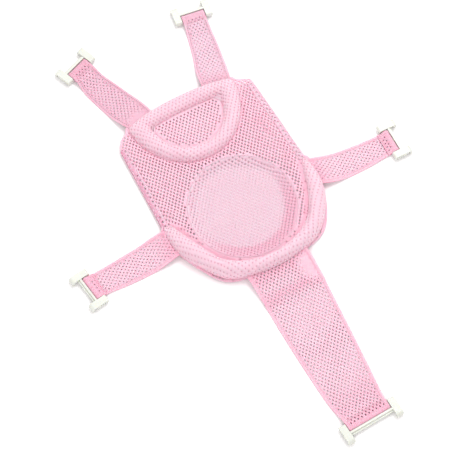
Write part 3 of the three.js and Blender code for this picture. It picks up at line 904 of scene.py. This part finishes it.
class PadSkin:
    """Wraps cloth over a pad: flat seen from above, and turned down its flanks past the pad's edges."""

    overhang = 6.5  # how far the cloth reaches past the pad's edges before it is turned down
    end_reach = 16.0  # and past its ends
    core = 7.0  # the height of the line inside the pad that the cloth is pressed towards
    lowest = 2.2  # the cloth's lowest height
    wrap = np.radians(104)  # how far it turns over each flank
    end_wrap = 1.25  # and over an end

    def __init__(self, pad, inner, outer, closed, lift):
        pad.data.calc_loop_triangles()
        corners = [v.co.copy() for v in pad.data.vertices]
        self.tree = BVHTree.FromPolygons(corners, [tuple(t.vertices) for t in pad.data.loop_triangles])
        self.lift = lift
        across = unit(outer - inner)
        centre, reach = (inner + outer) / 2, np.linalg.norm(outer - inner, axis=1) / 2 + self.overhang
        self.edges = centre - across * reach[:, None], centre + across * reach[:, None]
        if closed:
            centre, reach = closed_line(centre), np.append(reach, reach[0])
            self.ends = 0.0, float(travelled(centre)[-1])
        else:
            first, last = (unit(a - b) * self.end_reach
                           for a, b in ((centre[0], centre[3]), (centre[-1], centre[-4])))
            centre = np.vstack([centre[:1] + first, centre, centre[-1:] + last])
            reach = np.concatenate([reach[:1], reach, reach[-1:]])
            self.edges = tuple(np.vstack([line[:1] + first, line, line[-1:] + last]) for line in self.edges)
            self.ends = self.end_reach, float(travelled(centre)[-1]) - self.end_reach
        at = travelled(centre)
        self.at = np.linspace(0, at[-1], int(at[-1]))
        self.line = at_stations(self.at, at, centre)
        self.reach = np.interp(self.at, at, reach)
        self.tangent = unit(np.gradient(self.line, axis=0))

    def nearest(self, xy):
        return np.array([np.argmin(((self.line - p) ** 2).sum(1)) for p in xy])

    def share(self, xy):
        """How far out over its flanks the cloth is, from 0 over the middle to 1 at its edges."""
        nearest = self.nearest(xy)
        return np.linalg.norm(xy - self.line[nearest], axis=1) / self.reach[nearest]

    def surface(self, xy):
        nearest = self.nearest(xy)
        offset = xy - self.line[nearest]
        tangent = self.tangent[nearest]
        along = (offset * tangent).sum(1)
        y = self.at[nearest] + along
        left = np.stack([-tangent[:, 1], tangent[:, 0]], axis=1)
        share = np.clip((offset * left).sum(1) / self.reach[nearest], -1.05, 1.05)
        turn = self.wrap * (0.8 * share + 0.2 * share ** 3)
        past = np.minimum(y - self.ends[0], 0) + np.maximum(y - self.ends[1], 0)
        tilt = self.end_wrap * np.clip(past / self.end_reach, -1, 1)
        foot = self.line[nearest] + tangent * (along - past)[:, None]
        origins = np.column_stack([foot, np.full(len(xy), self.core)])
        direction = np.column_stack([left * np.sin(turn)[:, None], np.cos(turn)]) * np.cos(tilt)[:, None]
        direction[:, :2] += tangent * np.sin(tilt)[:, None]
        points, normals = np.empty((len(xy), 3)), np.empty((len(xy), 3))
        for k in range(len(xy)):
            origin, towards = Vector(origins[k]) * MM, Vector(direction[k])
            hit, normal, _, _ = self.tree.ray_cast(origin, towards)
            if hit is None:
                hit, normal, _, _ = self.tree.find_nearest(origin + towards * 0.02)
            points[k], normals[k] = hit, normal if normal.dot(towards) > 0 else -normal
        points = points / MM + normals * self.lift
        points[:, 2] = np.maximum(points[:, 2], self.lowest)
        return points, normals

    def girth(self):
        """The mean length of cloth round the pad's section."""
        lengths = []
        for k in range(10, len(self.line) - 10, 20):
            left = np.array([-self.tangent[k, 1], self.tangent[k, 0]])
            points, _ = self.surface(self.line[k] + np.linspace(-1, 1, 25)[:, None] * self.reach[k] * left)
            lengths.append(travelled(points)[-1])
        return float(np.mean(lengths))


def ring_lines(count):
    """The headrest's inner and outer lines, matched point to point round the ring."""
    middle = np.array([AXIS_X, (HEADREST_INNER[:, 1].min() + HEADREST_INNER[:, 1].max()) / 2])
    turn = np.linspace(0, 2 * np.pi, count, endpoint=False)

    def at(loop):
        loop = smoothed(resample(loop, 1.0), 12)
        angle = np.arctan2(*(loop - middle).T[::-1]) % (2 * np.pi)
        order = np.argsort(angle)
        angle, loop = angle[order], loop[order]
        return at_stations(turn, angle, loop, period=2 * np.pi)

    return at(HEADREST_INNER), at(HEADREST_OUTER)


def make_cover(name, node, skin, loops, seed):
    """The mesh drawn over a pad."""
    loops = [resample(smoothed(resample(loop, 1.0), 6), 2.5) for loop in loops]
    # The flanks are painted darker as the cloth turns down them: painted shade.
    cover = perforated(name, loops, skin.surface, 1.1, COVER_MESH, size=(1.25, 1.65), margin=0.8, bulge=0.35,
                       density_and_shade=lambda xy: 0.95 * smoothstep((skin.share(xy) - 0.62) / 0.3), seed=seed)
    on_seat(cover, node)
    skin.girth() * MM


def make_backing(name, node, loops, lift, seed):
    """The plain mesh under a pad, which shows past it as a flange."""
    sheet = perforated(name, loops, height_surface(lift), 1.2, PANEL_MESH, phase=(0.7, 3.1), margin=0.8,
                       bulge=0.4, seed=seed)
    on_seat(sheet, node)
    area = square_metres(*loops)
    width, length = extent(loops[0])
    if area < 0.31 * width * length:  # a curved strip
        width, length = float(2 * area / loop_length(loops[0]) / MM), loop_length(loops[0]) / 2 * MM


def make_pad(name, node, inner, outer, heights, closed):
    """The foam in its lining, puffed up between the pad's two lines."""
    pad = pad_solid(name, inner, outer, heights, inset=0.8, closed=closed)
    puff(pad, voxel=4.0, cap=6.0)
    on_seat(pad, node)
    return pad


def make_headrest():
    inner, outer = ring_lines(180)
    high = box_mm("headrest_cover")[1]
    heights = np.full(len(inner), high[2])
    pad = make_pad("headrest_pad", "headrest_foam", inner, outer, heights, closed=True)
    skin = PadSkin(pad, inner, outer, closed=True, lift=0.6)
    make_cover("headrest_cover_mesh", "headrest_cover", skin, skin.edges[::-1], 5)
    loops = [grown(resample(HEADREST_OUTER, 3.0), -1.0), grown(resample(HEADREST_INNER, 3.0), 1.0)]
    make_backing("headrest_backing_mesh", "headrest_backing", loops, lambda xy: np.full(len(xy), 0.9), 11)

    # The seam that holds the panel to the ring.
    line = grown(resample(HEADREST_OUTER, 3.0), SEAM_OFFSET)
    line = opened(line[line[:, 1] < HEADREST_OUTER[:, 1].max() - 18])
    row = upright(np.column_stack([line, panel_height(line) + CLOTH / 2]))
    on_seat(stitches("headrest_seam_thread", [row], radius=0.32))


def make_bolster():
    inner, outer = BOLSTER_INNER, BOLSTER_OUTER
    high = box_mm("bolster_cover")[1]
    share = np.linspace(0, 1, len(inner))
    from_end = np.minimum(share, 1 - share) * 2
    rise = np.sin(np.minimum(1, from_end * 2.2) * np.pi / 2)
    heights = BOLSTER_END_HEIGHT + (high[2] - BOLSTER_END_HEIGHT) * rise
    pad = make_pad("bolster_pad", "bolster_foam", inner, outer, heights, closed=False)
    skin = PadSkin(pad, inner[3:-3], outer[3:-3], closed=False, lift=0.6)
    around = np.vstack([skin.edges[0], skin.edges[1][::-1]])
    make_cover("bolster_cover_mesh", "bolster_cover", skin, [around], 6)

    backing = resample(plan_loops("bolster_backing")[0], 3.0)

    def lift(xy):
        """Flat under the pad, raised where the pad is sewn to it, and falling a little past that."""
        off = distance_to(xy, BOLSTER_COARSE)
        out = ~inside(xy, BOLSTER_LOOP)
        raised = 4.2 * np.exp(-(off / np.where(out, 9.0, 5.0)) ** 2)
        ripple = 0.35 * np.sin(xy[:, 0] / 7.0) * smoothstep(off / 4) * out
        return 0.9 + raised + ripple

    make_backing("bolster_backing_mesh", "bolster_backing", [backing], lift, 12)

    # The seams along the roll: one where the panel joins it, one along the flange.
    inner_line = resample(BOLSTER_INNER[6:-6], 3.0, closed=False)
    away = unit(inner_line - POCKET_CENTRE - (0, 40))
    line = inner_line - away * SEAM_OFFSET
    rows = [upright(np.column_stack([line, panel_height(line) + CLOTH / 2]))]
    rim = grown(backing, -SEAM_OFFSET)
    out = ~inside(rim, grown(BOLSTER_LOOP, 2.0))
    for keep in (out & (rim[:, 0] < AXIS_X), out & (rim[:, 0] > AXIS_X)):
        flange = rim[keep]
        if len(flange) > 4:
            flange = opened(flange)
            rows.append(upright(np.column_stack([flange, lift(flange) + 0.6])))
    on_seat(stitches("bolster_seam_thread", rows, radius=0.32))


# ---- Straps ----

BAR_GAP = 3.3  # from the bar's axis to the middle of the cloth round it
LOOP_SLACK = 0.6  # and how much further out the loop goes on the side away from the strap
FOLD_BACK = 14.0  # how much of the cloth lies folded back past the loop
CLOSING_ROWS = (11.0, 12.6)  # how far before the bar the rows of stitches that close the loop are
HEM_WIDTH = 4.6
BEND = (1.0, 26.0)  # two distances from the seam, along the strap, at which points are worked out and not used
STRAP_THICKNESS, HEM_EXTRA, LOOP_EXTRA, GROOVE = 1.5, 1.0, 0.5, 0.5
SINK, RISE = 52, 34  # the lengths over which it sinks from the seam, and rises to the bar


class Strap:
    """A strap's cloth: y runs along it from its seam, and x across it from its right to its left edge."""

    def __init__(self, name, over, buckle):
        self.buckle = buckle
        joints = {j["name"]: j for j in frame["joints"]}
        lift, swivel = joints[f"{name}_strap_lift"], joints[f"{name}_clip_swivel"]
        self.over = over  # the end is folded back over the strap, and not under it
        self.root, self.bar = np.array(lift["pos_m"]) / MM, np.array(swivel["pos_m"]) / MM
        self.leftward = -np.array(swivel["axis"], float)
        self.outward = np.cross(self.leftward, UP)
        self.away = np.cross(-np.array(lift["axis"], float), UP)
        points, _ = node_mesh(f"{name}_strap")
        span = (self.bar - self.root)[:2]
        straight = float(np.linalg.norm(span))
        along = span / straight
        left = np.array([-along[1], along[0]])
        s, t = (points[:, :2] - self.root[:2]) @ along, (points[:, :2] - self.root[:2]) @ left
        near_bar = ((points - self.bar) @ self.outward > -7.9)
        half = np.abs(((points - self.bar) @ self.leftward)[near_bar]).max() - 0.4
        edges = []
        for sign in (1, -1):
            mine = (s < straight - 20) & (np.sign(t) == sign)
            places = np.unique(np.round(points[mine][:, :2], 1), axis=0)
            order = np.argsort((places - self.root[:2]) @ along)
            corners = [(self.bar + self.outward * u + self.leftward * sign * half)[:2] for u in (-14, -7, 0)]
            edge = resample(np.vstack([places[order], corners]), 2.0, closed=False)
            edges.append(smoothed(edge, 6, closed=False))
        self.length = float(np.mean([travelled(edge)[-1] for edge in edges]))
        self.total = self.length + math.pi * BAR_GAP + FOLD_BACK
        self.stations = np.linspace(0, self.length, 120)
        share = np.linspace(0, 1, 120)
        self.left, self.right = (at_stations(share, travelled(e) / travelled(e)[-1], e) for e in edges)
        self.widths = np.linalg.norm(self.left - self.right, axis=1)

    def width(self, y):
        return np.interp(y, self.stations, self.widths)

    def middle_height(self, y):
        """It leaves the seam, sinks to the floor, and rises to the clip's bar, over it or under it."""
        root = PANEL_Z
        rest = CLOTH / 2 + 0.25
        bar = self.bar[2] + (-BAR_GAP if self.over else BAR_GAP)
        down = smoothstep(y / SINK)
        up = 1 - smoothstep((self.length - y - 4) / RISE)
        wave = 0.5 * np.sin(y / 17 + self.root[0]) * smoothstep(y / 60) * (1 - up)
        fold = self.buckle * np.exp(-((y - 46) / 9) ** 2)
        return root + (rest - root) * down + (bar - rest) * up + np.maximum(wave, 0) * 1.2 + fold

    def surface(self, lift):
        def place(xy):
            x, y = xy[:, 0], xy[:, 1]
            on = np.clip(y, 0, self.length)
            left, right = (at_stations(on, self.stations, edge) for edge in (self.left, self.right))
            share = x / self.width(on)
            plan = (left + right) / 2 + share[:, None] * (left - right)
            plan += np.minimum(y, 0)[:, None] * self.away[:2]
            free = smoothstep(on / 40) * smoothstep((self.length - on) / 30)
            cup = 0.5 * free * np.sin(on / 23 + 5 * share)
            step = 0.5
            slope = (self.middle_height(on + step) - self.middle_height(on - step)) / (2 * step)
            normals = unit(np.column_stack([-slope[:, None] * self.outward[:2], np.ones(len(xy))]))
            points = np.column_stack([plan, self.middle_height(on) + np.maximum(cup, 0)])
            sign = -1.0 if self.over else 1.0
            turn = np.clip((y - self.length) / (math.pi * BAR_GAP), 0, 1) * math.pi
            past = np.maximum(y - self.length - math.pi * BAR_GAP, 0)
            ray = np.sin(turn)[:, None] * self.outward + sign * np.cos(turn)[:, None] * UP
            reach = BAR_GAP + LOOP_SLACK * np.sin(turn)[:, None] ** 2
            ring = self.bar + reach * ray + x[:, None] * self.leftward - past[:, None] * self.outward
            lap = self.middle_height(self.length - past) - (CLOTH + 0.5) * sign
            settle = smoothstep(past / 9)
            ring[:, 2] = ring[:, 2] * (1 - settle) + lap * settle
            wrap = y > self.length
            points[wrap], normals[wrap] = ring[wrap], (ray * sign)[wrap]
            return points + normals * lift, normals
        return place

    def hem_lines(self, inset, low, high, lift):
        y = np.arange(low, high, 2.5)
        return [self.surface(lift)(np.column_stack([sign * (self.width(y) / 2 - inset), y]))
                for sign in (-1, 1)]


def make_strap(name, over, root_reach, hole, bare, darkening=0.0, buckle=0.0, patch=None, cloth=STRAP_MESH,
               line=THREAD):
    """Makes a strap whose end is folded back over it, or under it.

    It goes on under the body by root_reach. Its holes have the half width and half length of hole, and stop
    bare before the bar. darkening is how much darker all of it is, and buckle the height of a soft fold
    across it.
    patch is the place and the radii of a part near the seam where the cloth is doubled and its holes are
    lost. line is its hems' thread; the top straps get a dark one, whose colour paints the shadow line along
    their hems.
    """
    strap = Strap(name, over, buckle)
    y = np.concatenate([[-root_reach], np.arange(0, strap.total, 3.0), [strap.total]])
    half = strap.width(y) / 2
    outline = np.vstack([np.column_stack([half, y]), np.column_stack([-half, y])[::-1]])
    guides = [np.column_stack([sign * (half - inset), y])[1:-1]
              for inset in (0.5, 1.4, HEM_WIDTH - 0.9, HEM_WIDTH) for sign in (-1, 1)]
    for station in np.concatenate([[-root_reach / 2, 2.0], np.arange(-7, FOLD_BACK + 9, 1.3) + strap.length]):
        reach = strap.width(np.array([station]))[0] / 2 - 0.2
        guides.append(np.column_stack([np.linspace(-reach, reach, 15), np.full(15, station)]))

    def to_side(xy):
        return strap.width(xy[:, 1]) / 2 - np.abs(xy[:, 0])

    def thickness(xy):
        inset = to_side(xy)
        hem = smoothstep((HEM_WIDTH - inset) / 0.9)
        groove = GROOVE * np.exp(-((inset - HEM_WIDTH) / 0.7) ** 2)
        past = xy[:, 1] - strap.length
        round_bar = smoothstep((past + 1) / 3) * smoothstep((math.pi * BAR_GAP + 1 - past) / 3)
        loop = LOOP_EXTRA * round_bar * (1 - hem)
        return STRAP_THICKNESS + HEM_EXTRA * hem * smoothstep((inset + 0.5) / 1.5) - groove + loop

    def closed_off(xy):
        past = xy[:, 1] - strap.length
        shut = (to_side(xy) < HEM_WIDTH + 1.2) | ((past > -bare) & ((past < 13) | (past > 20)))
        return shut | (in_patch(xy) < 0.62)

    def in_patch(xy):
        return np.full(len(xy), 2.0) if patch is None else np.linalg.norm((xy - patch[0]) / patch[1], axis=1)

    def narrowed(xy):
        return 0.4 + 0.6 * smoothstep((in_patch(xy) - 0.6) / 0.6)

    def density_and_shade(xy):
        """Denser at the doubled hems; painted shadow along the hems' inner edges; doubled cloth and painted
        shade round the clip's bar; painted shade where it leaves the seam and on the soft fold; darker
        towards the end of a buckled strap; darker all over by darkening.
        """
        hem = 0.14 * smoothstep((HEM_WIDTH + 0.8 - to_side(xy)) / 0.8)
        # painted shadow along each hem's inner edge
        groove = 0.45 * np.exp(-((to_side(xy) - HEM_WIDTH) / 0.8) ** 2)
        # doubled cloth and painted shade round the clip's bar
        loop = 0.42 * smoothstep((xy[:, 1] - strap.length + FOLD_BACK + 1) / 5)
        beside_patch = smoothstep((in_patch(xy) - 0.4) / 0.9)
        # painted shade where the strap leaves the seam, outside the doubled patch
        root = 0.4 * (1 - smoothstep(xy[:, 1] / 32)) * beside_patch
        # painted shade on the soft fold
        fold = 0.16 * buckle * np.exp(-((xy[:, 1] - 44) / 10) ** 2) * beside_patch
        low = 0.1 * buckle * smoothstep((xy[:, 1] - strap.length + 90) / 60)
        return darkening + np.max([hem, groove, loop, root, fold, low], axis=0) * (1 - darkening)

    mesh = perforated(f"{name}_strap_mesh", [outline], strap.surface(0), thickness, cloth, phase=(0.6, 1.4),
                      size=hole, closed_off=closed_off, narrowed=narrowed, guides=guides, density_and_shade=density_and_shade, seed=20)
    start, end = ((strap.root + strap.away * distance) * MM for distance in BEND)
    tuple(start)
    tuple(end)
    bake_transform(mesh)
    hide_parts(f"{name}_strap")
    square_metres(outline)

    hems = strap.hem_lines(inset=HEM_WIDTH - 1.2, low=3.0, high=strap.length - 12, lift=1.25)
    thread = stitches(f"{name}_strap_hem_thread", hems, radius=0.34, material=line)
    tuple(start)
    tuple(end)
    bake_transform(thread)

    # The rows of stitches that close the loop.
    rows = []
    for back in CLOSING_ROWS:
        at = strap.total - FOLD_BACK + back if over else strap.length - back
        width = strap.width(np.array([strap.length - back]))[0] / 2 - 1.5
        line = np.column_stack([np.linspace(-width, width, 30), np.full(30, at)])
        points, normals = strap.surface(-0.9 if over else 0.9)(line)
        rows.append((points, -normals if over else normals))
    tack = stitches(f"{name}_strap_stitching_thread", rows, pitch=3.0, length=2.4, radius=0.4)
    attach(tack, f"{name}_strap")
    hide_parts(f"{name}_strap_stitching")


def finish_clips():
    """The clips are the CAD solids, with their edges softened as a moulding's are."""
    for name in STRAP_NAMES:
        clip = frame["nodes"][f"{name}_clip"]
        clip.data.materials.clear()
        clip.data.materials.append(PLASTIC)
        weld = clip.modifiers.new("weld", "WELD")
        weld.merge_threshold = 0.00001
        bevel = clip.modifiers.new("bevel", "BEVEL")
        bevel.width = 0.0007
        bevel.segments = 3
        bevel.limit_method = "ANGLE"
        bevel.angle_limit = math.radians(38)


make_camera()
make_studio()
make_panel()
make_pocket()
make_headrest_middle()
make_side_hem("left_side_hem", solid=4.5, seed=8)
make_side_hem("right_side_hem", solid=1.5, seed=9)
make_headrest()
make_bolster()
make_strap("left", over=True, root_reach=3.0, hole=(1.1, 1.5), bare=1, darkening=0.08)
make_strap("right", over=True, root_reach=3.0, hole=(1.1, 1.5), bare=1)
make_strap("top_left", over=False, root_reach=4.0, hole=(1.1, 1.5), bare=6, darkening=0.3,
           patch=((0, 2), (26, 17)), cloth=TOP_STRAP_MESH, line=SHADOW_LINE_THREAD)
make_strap("top_right", over=False, root_reach=4.0, hole=(1.1, 1.5), bare=4, cloth=TOP_STRAP_MESH,
           line=SHADOW_LINE_THREAD)
make_strap("bottom", over=False, root_reach=12.0, hole=(1.35, 1.85), bare=1, buckle=2.6,
           patch=((44, 24), (22, 26)))
finish_clips()
